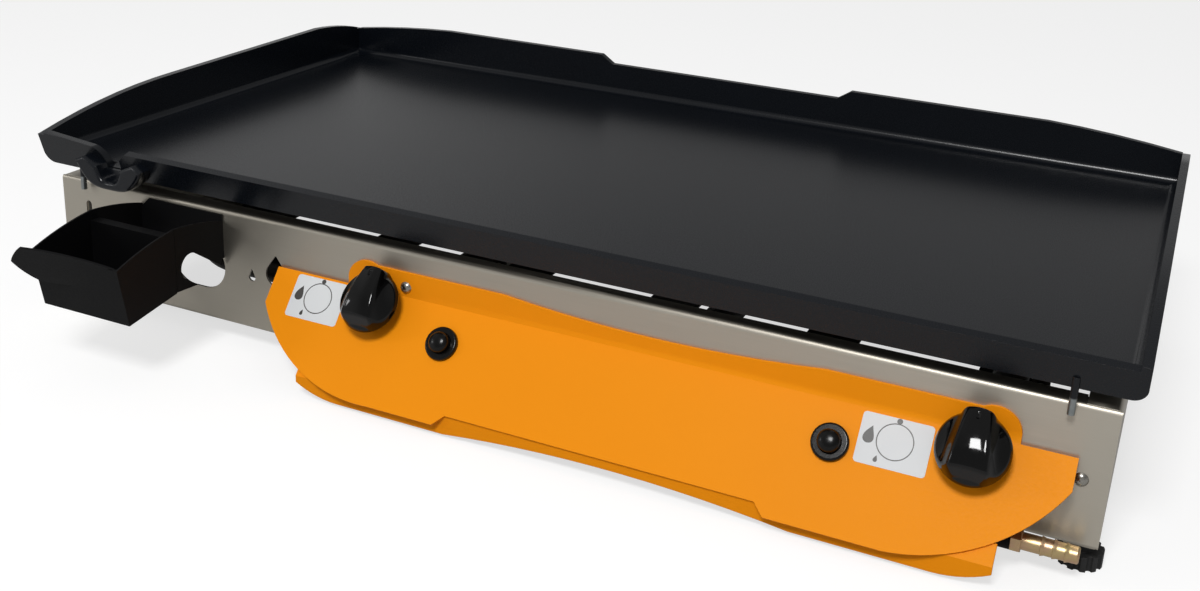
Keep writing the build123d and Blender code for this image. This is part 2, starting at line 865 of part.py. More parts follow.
def make_knob(x):
    # A round body scooped away on both flanks, so that a bar grip is left across it
    spot = face_spot(x, knob_drop)
    radius = knob_diameter / 2
    body = extrude(spot.offset(knob_gap) * Circle(radius), amount=knob_height - knob_gap, taper=knob_taper)
    top_edge = body.edges().sort_by(Axis(spot.origin, spot.z_dir))[-1]
    body = fillet(top_edge, knob_edge)
    across = Plane(origin=spot.origin, x_dir=(1, 0, 0), z_dir=-spot.y_dir)
    half = knob_grip_width / 2
    rim = (radius + cut_margin, knob_gap + knob_skirt_height)
    crest = (half, knob_height + cut_margin)
    share = knob_scoop_share
    scoop = (half + (rim[0] - half) * share, rim[1] + (crest[1] - rim[1]) * share)
    outline = make_face(
        [
            ThreePointArc(rim, scoop, crest),
            Line(crest, (-crest[0], crest[1])),
            ThreePointArc((-crest[0], crest[1]), (-scoop[0], scoop[1]), (-rim[0], rim[1])),
            Polyline((-rim[0], rim[1]), (-rim[0], 0), (rim[0], 0), rim),
        ]
    )
    knob = body & extrude(across.offset(-rim[0]) * outline, amount=2 * rim[0])
    bore = Circle(stem_diameter / 2 + stem_clearance)
    flat = Pos(0, -stem_diameter / 2 - stem_clearance) * Rectangle(2 * stem_diameter, 2 * stem_flat)
    knob -= extrude(spot * (bore - flat), amount=knob_height - knob_roof)
    relief = Circle(radius - knob_wall) - Circle(stem_diameter)
    knob -= extrude(spot * relief, amount=knob_gap + knob_skirt_height - knob_wall)
    mark = Pos(0, radius - knob_mark_length / 2) * Rectangle(knob_mark_width, knob_mark_length)
    return knob - extrude(spot.offset(knob_height - knob_mark_depth) * mark, amount=knob_height)


def make_igniter(x):
    spot = face_spot(x, button_drop)
    bezel = extrude(spot * Circle(igniter_bezel_diameter / 2), amount=igniter_bezel_height)
    bezel = fillet(bezel.edges().sort_by(Axis(spot.origin, spot.z_dir))[-1], igniter_bezel_edge)
    barrel = extrude(spot * Circle(igniter_barrel_diameter / 2), amount=-igniter_length)
    tail = extrude(spot.offset(-igniter_length) * Circle(igniter_tail_diameter / 2), amount=-igniter_tail_length)
    igniter = bezel + barrel + tail
    bore = button_diameter / 2 + panel_gap
    top = igniter_bezel_height + cut_margin
    return igniter - extrude(spot.offset(top) * Circle(bore), amount=-button_well - top)


def make_igniter_nut(x):
    spot = face_spot(x, button_drop)
    outline = RegularPolygon(igniter_nut_corner, 6)
    outline -= Circle(igniter_barrel_diameter / 2 + stem_clearance)
    return extrude(spot.offset(-panel_sheet) * outline, amount=-igniter_nut_thickness)


def make_button(x):
    spot = face_spot(x, button_drop)
    low = -button_well + button_travel + button_floor_gap
    button = extrude(spot.offset(low) * Circle(button_diameter / 2), amount=button_proud - low)
    return fillet(button.edges().sort_by(Axis(spot.origin, spot.z_dir))[-1], button_edge)


def face_outline():
    # The leaning face seen square on, with the fold at local y = 0
    left_bottom = face_left + face_left_arc
    right_bottom = face_right - face_right_arc
    left_mid = (face_left + face_left_bow_in, -face_left_bow_down)
    right_mid = (face_right - face_right_bow_in, -face_right_bow_down)
    run = face_step_run / 2
    edges = [
        Polyline((face_left, 0), (face_left, -face_left_side)),
        ThreePointArc((face_left, -face_left_side), left_mid, (left_bottom, -face_wing_drop)),
        Polyline(
            (left_bottom, -face_wing_drop),
            (face_step_left - run, -face_wing_drop),
            (face_step_left + run, -face_mid_drop),
            (face_step_right - run, -face_mid_drop),
            (face_step_right + run, -face_wing_drop),
            (right_bottom, -face_wing_drop),
        ),
        ThreePointArc((right_bottom, -face_wing_drop), right_mid, (face_right, -face_right_side)),
        Polyline((face_right, -face_right_side), (face_right, 0), (face_left, 0)),
    ]
    return make_face(edges)


def flange_outline():
    # The flange seen from the front, with the fold at local y = 0 and a dip in its top edge
    low = -panel_bend
    top = panel_flange_height
    corner = panel_flange_corner
    dip_mid = (panel_flange_dip_start + panel_flange_dip_end) / 2
    start = (panel_flange_dip_start, top)
    end = (panel_flange_dip_end, top)
    bevel = panel_flange_bevel
    edges = [
        Polyline((panel_flange_left, low), (panel_flange_left, top - corner)),
        ThreePointArc(
            (panel_flange_left, top - corner),
            (panel_flange_left + bevel, top - bevel),
            (panel_flange_left + 2 * corner, top),
        ),
        Line((panel_flange_left + 2 * corner, top), start),
        ThreePointArc(start, (dip_mid, top - panel_flange_dip), end),
        Line(end, (panel_flange_right - 2 * corner, top)),
        ThreePointArc(
            (panel_flange_right - 2 * corner, top),
            (panel_flange_right - bevel, top - bevel),
            (panel_flange_right, top - corner),
        ),
        Polyline((panel_flange_right, top - corner), (panel_flange_right, low), (panel_flange_left, low)),
    ]
    return make_face(edges)


def face_back_point(drop):
    # A point of the leaning face's back, in the YZ section
    point = on_face(0, drop, -panel_sheet)
    return (point[1], point[2])


def make_control_panel():
    top = base + fold_height + panel_flange_height + trim_margin
    fold = base + fold_height
    inner_fold = (0, fold - panel_sheet * math.tan(lean / 2))
    reach = face_wing_drop + trim_margin
    front_end = on_face(0, reach, 0)
    outline = make_face(
        Polyline(
            (-panel_sheet, top),
            (0, top),
            inner_fold,
            face_back_point(reach),
            (front_end[1], front_end[2]),
            (-panel_sheet, fold),
            close=True,
        )
    )
    outline = fillet(outline.vertices().sort_by_distance((inner_fold[0], inner_fold[1], 0))[0], panel_bend)
    length = face_right - face_left + 2 * cut_margin
    bent = extrude(section_plane(face_left - cut_margin) * outline, amount=length)
    keep = extrude(face_plane.offset(-2 * panel_sheet) * face_outline(), amount=4 * panel_sheet)
    flange = Pos(0, fold) * flange_outline()
    keep += extrude(front_plane(-panel_sheet) * flange, amount=-panel_sheet)
    panel = bent & keep
    for x in (left_knob_x, right_knob_x):
        hole = Circle(stem_diameter / 2 + stem_opening)
        panel -= extrude(face_spot(x, knob_drop).offset(panel_sheet) * hole, amount=-3 * panel_sheet)
    for x in (left_button_x, right_button_x):
        hole = Circle(igniter_barrel_diameter / 2 + stem_clearance)
        panel -= extrude(face_spot(x, button_drop).offset(panel_sheet) * hole, amount=-3 * panel_sheet)
    for x, z in panel_screw_places():
        panel -= screw_hole(x, z)
    return panel


def make_lower_skirt():
    # An upright sheet with a return bent to lie against the back of the leaning face
    edge = face_back_point(face_mid_drop)
    upper = face_back_point(face_mid_drop - skirt_return)
    inset = (panel_sheet * math.cos(lean), -panel_sheet * math.sin(lean))
    low = base - skirt_depth
    inner_fold = (edge[0] + panel_sheet, edge[1] - panel_sheet * math.tan(lean / 2))
    section = make_face(
        Polyline(
            (edge[0], low),
            (edge[0], edge[1]),
            upper,
            (upper[0] + inset[0], upper[1] + inset[1]),
            inner_fold,
            (edge[0] + panel_sheet, low),
            close=True,
        )
    )
    skirt = extrude(section_plane(skirt_left) * section, amount=skirt_right - skirt_left)
    arch_left = skirt_left + skirt_flat_out
    arch_right = skirt_right - skirt_flat_out
    mid = (arch_left + arch_right) / 2
    arch = make_face(
        [
            ThreePointArc((arch_left, low), (mid, low + skirt_arch), (arch_right, low)),
            Polyline((arch_right, low), (arch_right, low - cut_margin), (arch_left, low - cut_margin), (arch_left, low)),
        ]
    )
    before = edge[0] - panel_sheet
    skirt -= extrude(front_plane(before) * arch, amount=-3 * panel_sheet)
    for end, sign in ((skirt_left, 1), (skirt_right, -1)):
        inner = end + sign * skirt_flat_in
        corner = make_face(
            [
                ThreePointArc(
                    (inner, low),
                    (end + sign * skirt_end_bow_in, low + skirt_end_bow_rise),
                    (end, low + skirt_end_rise),
                ),
                Polyline(
                    (end, low + skirt_end_rise),
                    (end - sign * cut_margin, low + skirt_end_rise),
                    (end - sign * cut_margin, low - cut_margin),
                    (inner, low - cut_margin),
                    (inner, low),
                ),
            ]
        )
        skirt -= extrude(front_plane(before) * corner, amount=-3 * panel_sheet)
    return skirt


def panel_screw_places():
    z = base + panel_screw_height
    return [(panel_screw_left_x, z), (panel_screw_right_x, z)]


def corner_screw_places():
    reach = half_width - corner_screw_inset
    return [(-reach, base + corner_screw_height), (reach, base + corner_screw_height)]


def clip_places():
    return [left_clip_x, right_clip_x]


def clip_screw_places():
    top = rail_height + rail_diameter / 2 + rail_clip_tab
    return [(x, top - rail_clip_width / 2) for x in clip_places()]


def make_screw(x, y, z, direction):
    head_plane = Plane(origin=(x, y, z), z_dir=direction)
    radius = screw_head_diameter / 2
    ball = (radius**2 + screw_head_height**2) / (2 * screw_head_height)
    dome = Pos(0, 0, screw_head_height - ball) * Sphere(ball)
    head = dome & (Pos(0, 0, screw_head_height / 2) * Cylinder(radius, screw_head_height))
    shank = extrude(Circle(screw_diameter / 2), amount=-screw_length)
    return head_plane * (head + shank)


def make_panel_screws():
    return [make_screw(x, -panel_sheet, z, (0, -1, 0)) for x, z in panel_screw_places()]


def make_chassis_screws():
    screws = []
    for x, z in corner_screw_places():
        screws.append(make_screw(x, 0, z, (0, -1, 0)))
        screws.append(make_screw(x, chassis_depth, z, (0, 1, 0)))
    return screws


def make_gas_rail():
    rail = rod(rail_left, rail_y, rail_height, (1, 0, 0), rail_diameter / 2, rail_right - rail_left)
    rail -= rod(rail_left, rail_y, rail_height, (1, 0, 0), rail_bore / 2, rail_right - rail_left)
    for x in (left_knob_x, right_knob_x):
        rail -= rod(x, rail_y, rail_height, (0, math.sin(lean), math.cos(lean)), gas_way / 2, rail_diameter)
    return rail


def make_rail_plug():
    plug = rod(rail_left, rail_y, rail_height, (1, 0, 0), rail_bore / 2, rail_plug_depth)
    end = Plane(origin=(rail_left, rail_y, rail_height), z_dir=(-1, 0, 0))
    return plug + extrude(end * RegularPolygon(rail_plug_hex / 2, 6), amount=nozzle_hex_length)


def make_rail_clip(x):
    # A strap round the rail, with a tab flat on the chassis front
    start = x - rail_clip_width / 2
    ring_outer = rail_diameter / 2 + chassis_sheet
    clip = rod(start, rail_y, rail_height, (1, 0, 0), ring_outer, rail_clip_width)
    clip += block(start, start + rail_clip_width, rail_y, 0, rail_height, rail_height + ring_outer)
    top = rail_height + rail_diameter / 2 + rail_clip_tab
    clip += block(start, start + rail_clip_width, -chassis_sheet, 0, rail_height, top)
    hole = rail_diameter / 2 + stem_clearance
    clip -= rod(start, rail_y, rail_height, (1, 0, 0), hole, rail_clip_width)
    return clip - screw_hole(x, clip_screw_places()[0][1])


def make_clip_screws():
    return [make_screw(x, -chassis_sheet, z, (0, -1, 0)) for x, z in clip_screw_places()]


def make_hose_nozzle():
    along = (1, 0, 0)
    start = rail_right
    end = Plane(origin=(start, rail_y, rail_height), z_dir=along)
    hexagon = RegularPolygon(nozzle_hex / 2, 6, major_radius=False)
    nozzle = extrude(end * hexagon, amount=nozzle_hex_length)
    nozzle += rod(start - nozzle_thread, rail_y, rail_height, along, rail_bore / 2, nozzle_thread)
    barb_start = start + nozzle_hex_length
    barb = rod(barb_start, rail_y, rail_height, along, nozzle_diameter / 2, nozzle_length)
    nozzle += fillet(barb.edges().sort_by(Axis.X)[-1], nozzle_tip_round)
    low = nozzle_diameter / 2
    high = nozzle_ring_diameter / 2
    points = ((0, 0), (0, high), (nozzle_ring_run, low), (nozzle_ring_run, 0))
    ring = revolve(make_face(Polyline(*points, close=True)), axis=Axis.X)
    for step in range(nozzle_ring_count):
        ring_x = barb_start + nozzle_length - nozzle_tip_length - step * nozzle_ring_pitch
        nozzle += Pos(ring_x, rail_y, rail_height) * ring
    bore_start = start - nozzle_thread
    bore_length = nozzle_thread + nozzle_hex_length + nozzle_length
    return nozzle - rod(bore_start, rail_y, rail_height, along, nozzle_bore / 2, bore_length)


def make_injector(x):
    z = valve_outlet()[2]
    start = injector_start()
    place = Plane(origin=(x, start, z), z_dir=(0, 1, 0))
    hexagon = place * RegularPolygon(injector_hex / 2, 6, major_radius=False)
    injector = extrude(hexagon, amount=injector_hex_length)
    reach = burner_front_y + injector_entry - start
    return injector + rod(x, start, z, (0, 1, 0), injector_diameter / 2, reach)


def bracket_wall(x0, x1):
    back_high = (0, base + bracket_wall_back)
    front_high = (-bracket_depth, base + tray_wall_back)
    outline = make_face(
        [
            Line((0, base + bracket_bottom_back), back_high),
            ThreePointArc(back_high, arch_point(back_high, front_high, 0.5, bracket_arch), front_high),
            Polyline(
                front_high,
                (-bracket_depth, base + bracket_bottom_front),
                (0, base + bracket_bottom_back),
            ),
        ]
    )
    return extrude(section_plane(x0) * outline, amount=x1 - x0)


def bracket_slot():
    # A slot that falls towards the chassis through the right wall, in line with the lighting hole
    reach = bracket_slot_length / 2 - bracket_slot_width / 2
    slot = Pos(reach, 0) * SlotOverall(bracket_slot_length, bracket_slot_width)
    placed = Pos(bracket_slot_y, base + bracket_slot_height) * Rot(0, 0, -bracket_slot_fall) * slot
    cutter = extrude(section_plane(tray_right - 2 * tray_sheet) * placed, amount=3 * tray_sheet)
    return cutter & block(tray_left, tray_right + tray_sheet, -bracket_depth, 0, 0, chassis_top)


def make_tray_bracket():
    sheet = tray_sheet
    bracket = bracket_wall(tray_right - sheet, tray_right)
    bracket += bracket_wall(tray_left, tray_left + sheet)
    low = base + bracket_bottom_back
    high = base + bracket_top
    back_points = (
        (tray_left, low),
        (tray_left, high - bracket_corner),
        (tray_left + bracket_corner, high),
        (tray_right, high),
        (tray_right, low),
    )
    bracket += slab(back_points, front_plane(0), 0, sheet)
    bracket -= bracket_slot()
    front = -bracket_depth
    front_low = base + bracket_bottom_front
    front_high = base + bracket_front_top
    bracket += block(tray_left, tray_right, front, front + sheet, front_low, front_high)
    return bracket - lighting_hole(sheet, 2 * sheet)


def tray_profile(inset, top_extra):
    # The tray's side seen from the right, at a distance inside its outer faces
    back = -bracket_depth - tray_gap - inset
    slope = math.tan(math.radians(tray_front_lean))
    front_low = (tray_front_y + inset, base + tray_bottom_front + inset)
    front_high_z = base + tray_wall_front + top_extra
    front_high = (tray_front_y + inset - (front_high_z - front_low[1]) * slope, front_high_z)
    back_low = (back, base + tray_bottom_back + inset)
    back_high = (back, base + tray_wall_back + top_extra)
    mid = ((back + front_high[0]) / 2, base + tray_wall_mid + top_extra)
    walls = Polyline(back_high, back_low, front_low, front_high)
    return make_face([walls, ThreePointArc(front_high, mid, back_high)])


def make_drip_tray():
    sheet = tray_sheet
    tray = extrude(section_plane(tray_left) * tray_profile(0, 0), amount=tray_right - tray_left)
    inside = tray_right - tray_left - 2 * sheet
    tray -= extrude(section_plane(tray_left + sheet) * tray_profile(sheet, trim_margin), amount=inside)
    back = -bracket_depth - tray_gap
    hook_base = base + bracket_front_top
    x0 = tray_left + sheet + tray_gap
    x1 = tray_right - sheet - tray_gap
    above = base + tray_wall_back + sheet
    tray -= block(x0 - tray_gap, x1 + tray_gap, back - 2 * sheet, back + sheet, hook_base + sheet, above)
    tray += block(x0, x1, back - sheet, back + hook_length, hook_base, hook_base + sheet)
    tray += block(x0, x1, back + hook_length - sheet, back + hook_length, hook_base - hook_drop, hook_base)
    outer = extrude(section_plane(tray_left) * tray_profile(0, 0), amount=tray_right - tray_left)
    return tray + (tray_grip() - outer)


def tray_grip():
    # A rounded grip that leans forward off the tray's front, turned a little to one side
    tilt = math.radians(grip_lean)
    turn = math.radians(grip_turn)
    flat = math.cos(tilt)
    plane = Plane(
        origin=(grip_x, grip_y, base + grip_root_height),
        x_dir=(math.cos(turn), math.sin(turn), 0),
        z_dir=(math.sin(turn) * flat, -math.cos(turn) * flat, -math.sin(tilt)),
    )
    half = grip_width / 2
    right = (half, grip_right_side)
    low_right = (0, 0)
    low_left = (-grip_low_left, 0)
    left = (-half, grip_left_side)
    top_left = (-grip_top_left, grip_length)
    outline = make_face(
        [
            ThreePointArc(right, arch_point(right, low_right, 0.5, -grip_bulge), low_right),
            Line(low_right, low_left),
            ThreePointArc(low_left, arch_point(low_left, left, 0.55, -grip_bulge), left),
            ThreePointArc(left, arch_point(left, top_left, 0.5, grip_bulge / 2), top_left),
            ThreePointArc(top_left, arch_point(top_left, right, 0.5, grip_bulge), right),
        ]
    )
    return extrude(plane * outline, amount=-tray_sheet)


def all_parts():
    parts = {}
    parts["griddle_plate"] = make_griddle_plate()
    parts["pour_spout"] = outside_plate(make_pour_spout())
    parts["plate_studs"] = make_studs()
    parts["front_panel"] = make_front_panel()
    parts["rear_panel"] = make_rear_panel()
    parts["left_side_panel"] = make_side_panel(-1)
    parts["right_side_panel"] = make_side_panel(1)
    parts["rest_brackets"] = [make_rest_bracket(side, y) for side in (-1, 1) for y in rest_rows()]
    parts["rubber_feet"] = [make_foot(x, y) for x, y in foot_places()]
    parts["foot_screws"] = [make_foot_screw(x, y) for x, y in foot_places()]
    parts["burner_shield"] = make_shield()
    parts["control_panel"] = make_control_panel()
    parts["lower_skirt"] = make_lower_skirt()
    parts["panel_screws"] = make_panel_screws()
    parts["chassis_screws"] = make_chassis_screws()
    parts["gas_rail"] = make_gas_rail()
    parts["rail_plug"] = make_rail_plug()
    parts["rail_clips"] = [make_rail_clip(x) for x in clip_places()]
    parts["clip_screws"] = make_clip_screws()
    parts["hose_nozzle"] = make_hose_nozzle()
    parts["tray_bracket"] = make_tray_bracket()
    parts["drip_tray"] = make_drip_tray()
    sides = (("left", left_knob_x, left_button_x), ("right", right_knob_x, right_button_x))
    for side, knob_x, button_x in sides:
        parts[f"{side}_burner"] = make_burner(knob_x)
        parts[f"{side}_burner_cradles"] = make_cradles(knob_x)
        parts[f"{side}_spark_electrode"] = make_electrode(knob_x)
        parts[f"{side}_valve"] = make_valve(knob_x)
        parts[f"{side}_injector"] = make_injector(knob_x)
        parts[f"{side}_valve_stem"] = make_stem(knob_x)
        parts[f"{side}_knob"] = make_knob(knob_x)
        parts[f"{side}_igniter"] = make_igniter(button_x)
        parts[f"{side}_igniter_nut"] = make_igniter_nut(button_x)
        parts[f"{side}_igniter_button"] = make_button(button_x)
    return parts


def solids_of(piece):
    pieces = piece if isinstance(piece, list) else [piece]
    return [solid for item in pieces for solid in item.solids()]


def main():
    os.makedirs("parts", exist_ok=True)
    parts = {name: solids_of(piece) for name, piece in all_parts().items()}
    boxes = [solid.bounding_box() for group in parts.values() for solid in group]
    front = min(box.min.Y for box in boxes)
    back = max(box.max.Y for box in boxes)
    shift = Pos(0, -(front + back) / 2, 0)
    for name, group in parts.items():
        moved = [shift * solid for solid in group]
        shape = moved[0] if len(moved) == 1 else Compound(children=moved)
        export_step(shape, f"parts/{name}.step")
    print("pieces", len(parts), "front", round(front, 2), "back", round(back, 2))


main()
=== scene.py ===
import json
import math

import bmesh
import bpy
from mathutils import Matrix, Vector


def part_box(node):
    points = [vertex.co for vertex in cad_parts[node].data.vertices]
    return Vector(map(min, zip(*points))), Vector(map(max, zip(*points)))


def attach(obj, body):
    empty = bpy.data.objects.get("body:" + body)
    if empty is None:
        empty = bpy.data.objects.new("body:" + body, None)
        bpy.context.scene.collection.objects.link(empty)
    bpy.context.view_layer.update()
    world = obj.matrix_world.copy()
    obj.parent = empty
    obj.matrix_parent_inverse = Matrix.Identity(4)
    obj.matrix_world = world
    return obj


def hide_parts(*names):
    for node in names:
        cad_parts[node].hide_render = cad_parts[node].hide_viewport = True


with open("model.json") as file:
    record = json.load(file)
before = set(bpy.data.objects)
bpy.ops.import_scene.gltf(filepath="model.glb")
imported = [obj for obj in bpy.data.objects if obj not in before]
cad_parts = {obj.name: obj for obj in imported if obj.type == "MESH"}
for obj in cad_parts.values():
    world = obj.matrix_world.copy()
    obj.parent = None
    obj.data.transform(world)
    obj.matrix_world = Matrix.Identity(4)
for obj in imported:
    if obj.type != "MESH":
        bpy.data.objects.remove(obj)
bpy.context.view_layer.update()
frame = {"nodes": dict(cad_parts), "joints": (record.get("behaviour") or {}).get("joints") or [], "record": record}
nodes = frame["nodes"]
joints = {joint["name"]: joint for joint in frame["joints"]}
mm = 0.001
sides = ("left", "right")
grainSpan = (0.3, 0.7)  # where most values of a noise texture lie
print("frame loaded:", len(nodes), "pieces")


def hexColour(code):
    # sRGB hex to the linear values that shaders take
    channels = [int(code[i:i + 2], 16) / 255 for i in (1, 3, 5)]
    linear = [c / 12.92 if c <= 0.04045 else ((c + 0.055) / 1.055) ** 2.4 for c in channels]
    return (*linear, 1.0)


def perMetre(size):
    # texture scale that gives marks of about this many millimetres
    return 1000.0 / size


def addNode(tree, kind, settings=None, **sockets):
    # one node with its settings; a socket takes a value or another node's output
    node = tree.nodes.new(kind)
    for name, value in (settings or {}).items():
        setattr(node, name, value)
    for key, value in sockets.items():
        socket = node.inputs[int(key[2:])] if key.startswith("at") else node.inputs[key.replace("_", " ")]
        if isinstance(value, bpy.types.NodeSocket):
            tree.links.new(value, socket)
        else:
            socket.default_value = value
    return node


def startMaterial(name):
    material = bpy.data.materials.new(name)
    material.use_nodes = True
    tree = material.node_tree
    shader = tree.nodes["Principled BSDF"]
    place = addNode(tree, "ShaderNodeTexCoord").outputs["Object"]
    return material, tree, shader, place


def join(tree, shader, **outputs):
    # links outputs to the shader's sockets by name
    for name, output in outputs.items():
        tree.links.new(output, shader.inputs[name.replace("_", " ")])


# Vitreous enamel fired on steel: deep black with a satin gloss and a fine orange peel
enamel = {"colour": "#080B10", "cloud": "#0B0F15", "roughness": (0.2, 0.3), "peelMm": 2.2, "grainMm": 0.5,
          "cloudMm": 60, "bump": 0.12, "depthMm": 0.05, "specular": 0.34}


def firedBlackEnamel():
    material, tree, shader, place = startMaterial("fired_black_enamel")
    cloud = addNode(tree, "ShaderNodeTexNoise", Vector=place, Scale=perMetre(enamel["cloudMm"]), Detail=3.0)
    peel = addNode(tree, "ShaderNodeTexNoise", Vector=place, Scale=perMetre(enamel["peelMm"]), Detail=2.0)
    grain = addNode(tree, "ShaderNodeTexNoise", Vector=place, Scale=perMetre(enamel["grainMm"]), Detail=1.0)
    tone = addNode(tree, "ShaderNodeMix", {"data_type": "RGBA"}, Factor=cloud.outputs["Fac"],
                   at6=hexColour(enamel["colour"]), at7=hexColour(enamel["cloud"]))
    low, high = enamel["roughness"]
    rough = addNode(tree, "ShaderNodeMapRange", Value=grain.outputs["Fac"], From_Min=grainSpan[0],
                    From_Max=grainSpan[1], To_Min=low, To_Max=high)
    bump = addNode(tree, "ShaderNodeBump", Height=peel.outputs["Fac"], Strength=enamel["bump"],
                   Distance=enamel["depthMm"] * mm)
    shader.inputs["Specular IOR Level"].default_value = enamel["specular"]
    join(tree, shader, Base_Color=tone.outputs[2], Roughness=rough.outputs[0], Normal=bump.outputs[0])
    return material


# Stainless sheet, brushed lengthwise: fine level lines that smear reflections up and down
# Real brush lines are about 0.1 mm wide; they are drawn coarser, so that they show in the render
stainless = {"colour": "#BEB8AC", "line": "#B2ACA0", "roughness": (0.42, 0.5), "lineMm": 0.5, "runMm": 60,
             "bump": 0.1, "depthMm": 0.01, "anisotropy": 0.6, "turn": 0.25}


def brushedStainless():
    material, tree, shader, place = startMaterial("brushed_stainless")
    axes = addNode(tree, "ShaderNodeSeparateXYZ", Vector=place)
    along = addNode(tree, "ShaderNodeMath", {"operation": "ADD"}, at0=axes.outputs["X"],
                    at1=axes.outputs["Y"])
    level = addNode(tree, "ShaderNodeMath", {"operation": "MULTIPLY"}, at0=along.outputs[0],
                    at1=perMetre(stainless["runMm"]))
    upright = addNode(tree, "ShaderNodeMath", {"operation": "MULTIPLY"}, at0=axes.outputs["Z"],
                      at1=perMetre(stainless["lineMm"]))
    grain = addNode(tree, "ShaderNodeCombineXYZ", X=level.outputs[0], Z=upright.outputs[0])
    lines = addNode(tree, "ShaderNodeTexNoise", Vector=grain.outputs[0], Scale=1.0, Detail=3.0)
    tone = addNode(tree, "ShaderNodeMix", {"data_type": "RGBA"}, Factor=lines.outputs["Fac"],
                   at6=hexColour(stainless["line"]), at7=hexColour(stainless["colour"]))
    low, high = stainless["roughness"]
    rough = addNode(tree, "ShaderNodeMapRange", Value=lines.outputs["Fac"], From_Min=grainSpan[0],
                    From_Max=grainSpan[1], To_Min=low, To_Max=high)
    bump = addNode(tree, "ShaderNodeBump", Height=lines.outputs["Fac"], Strength=stainless["bump"],
                   Distance=stainless["depthMm"] * mm)
    tangent = addNode(tree, "ShaderNodeTangent", {"direction_type": "RADIAL", "axis": "Z"})
    shader.inputs["Metallic"].default_value = 1.0
    shader.inputs["Anisotropic"].default_value = stainless["anisotropy"]
    shader.inputs["Anisotropic Rotation"].default_value = stainless["turn"]
    join(tree, shader, Base_Color=tone.outputs[2], Roughness=rough.outputs[0], Normal=bump.outputs[0],
         Tangent=tangent.outputs[0])
    return material


# A coated, moulded or plated surface: a faint cloud in its colour, a grain in its roughness and a fine bump
def coatedSurface(name, finish):
    material, tree, shader, place = startMaterial(name)
    cloud = addNode(tree, "ShaderNodeTexNoise", Vector=place, Scale=perMetre(finish["cloudMm"]), Detail=3.0)
    grain = addNode(tree, "ShaderNodeTexNoise", Vector=place, Scale=perMetre(finish["grainMm"]), Detail=2.0)
    tone = addNode(tree, "ShaderNodeMix", {"data_type": "RGBA"}, Factor=cloud.outputs["Fac"],
                   at6=hexColour(finish["colour"]), at7=hexColour(finish["cloud"]))
    low, high = finish["roughness"]
    rough = addNode(tree, "ShaderNodeMapRange", Value=grain.outputs["Fac"], From_Min=grainSpan[0],
                    From_Max=grainSpan[1], To_Min=low, To_Max=high)
    bump = addNode(tree, "ShaderNodeBump", Height=grain.outputs["Fac"], Strength=finish["bump"],
                   Distance=finish["depthMm"] * mm)
    shader.inputs["Metallic"].default_value = finish.get("metal", 0.0)
    shader.inputs["Specular IOR Level"].default_value = finish.get("specular", 0.5)
    join(tree, shader, Base_Color=tone.outputs[2], Roughness=rough.outputs[0], Normal=bump.outputs[0])
    return material


# Orange polyester powder coat on steel: satin, with the slight pebble that baking leaves
orangePowder = {"colour": "#F0920F", "cloud": "#EC8D0D", "roughness": (0.4, 0.52), "grainMm": 1.1,
                "cloudMm": 90, "bump": 0.15, "depthMm": 0.05, "specular": 0.07}
# Matt black coat on thin steel: dull, a little uneven
mattBlack = {"colour": "#070708", "cloud": "#0B0B0C", "roughness": (0.45, 0.58), "grainMm": 1.0,
             "cloudMm": 35, "bump": 0.2, "depthMm": 0.05, "specular": 0.12}
# Phenolic moulded in a polished die: near black, mirror-like
polishedPhenolic = {"colour": "#050505", "cloud": "#070707", "roughness": (0.05, 0.09), "grainMm": 3.0,
                    "cloudMm": 20, "bump": 0.03, "depthMm": 0.02, "specular": 0.32}
# Glass-filled nylon, moulded: black, soft sheen
mouldedNylon = {"colour": "#060606", "cloud": "#090909", "roughness": (0.18, 0.26), "grainMm": 0.8,
                "cloudMm": 15, "bump": 0.06, "depthMm": 0.03, "specular": 0.25}
# Moulded rubber: black, dull
mouldedRubber = {"colour": "#101010", "cloud": "#171717", "roughness": (0.55, 0.7), "grainMm": 0.9,
                 "cloudMm": 12, "bump": 0.3, "depthMm": 0.06}
# Zinc-plated steel: bright, slightly cloudy
platedZinc = {"colour": "#A9A69F", "cloud": "#97948C", "roughness": (0.22, 0.34), "grainMm": 0.8,
              "cloudMm": 5, "bump": 0.08, "depthMm": 0.02, "metal": 1.0}
# Yellow passivated zinc: gold with reddish and greenish clouds
yellowZinc = {"colour": "#CBBF7E", "cloud": "#C4968A", "roughness": (0.34, 0.44), "grainMm": 0.8,
              "cloudMm": 7, "bump": 0.08, "depthMm": 0.02, "metal": 1.0}
# Turned brass: warm yellow with fine tool marks
turnedBrass = {"colour": "#C3A35B", "cloud": "#AE8E4C", "roughness": (0.22, 0.36), "grainMm": 0.7,
               "cloudMm": 9, "bump": 0.1, "depthMm": 0.02, "metal": 1.0}
# Steel browned by heat: dull grey brown
heatedSteel = {"colour": "#3B3834", "cloud": "#2C2A28", "roughness": (0.42, 0.6), "grainMm": 0.9,
               "cloudMm": 25, "bump": 0.2, "depthMm": 0.04, "metal": 1.0}
# Glazed alumina ceramic: white, glossy
glazedCeramic = {"colour": "#E8E4DA", "cloud": "#DDD8CC", "roughness": (0.12, 0.2), "grainMm": 1.0,
                 "cloudMm": 8, "bump": 0.05, "depthMm": 0.02}
# Printed polyester film: off-white, soft gloss
labelFilm = {"colour": "#D9DBDC", "cloud": "#D3D5D7", "roughness": (0.48, 0.56), "grainMm": 1.5,
             "cloudMm": 30, "bump": 0.04, "depthMm": 0.02, "specular": 0.15}
# Screen-printed ink: black, thin
printInk = {"colour": "#3A3836", "cloud": "#42403E", "roughness": (0.35, 0.45), "grainMm": 0.6,
            "cloudMm": 6, "bump": 0.05, "depthMm": 0.01}
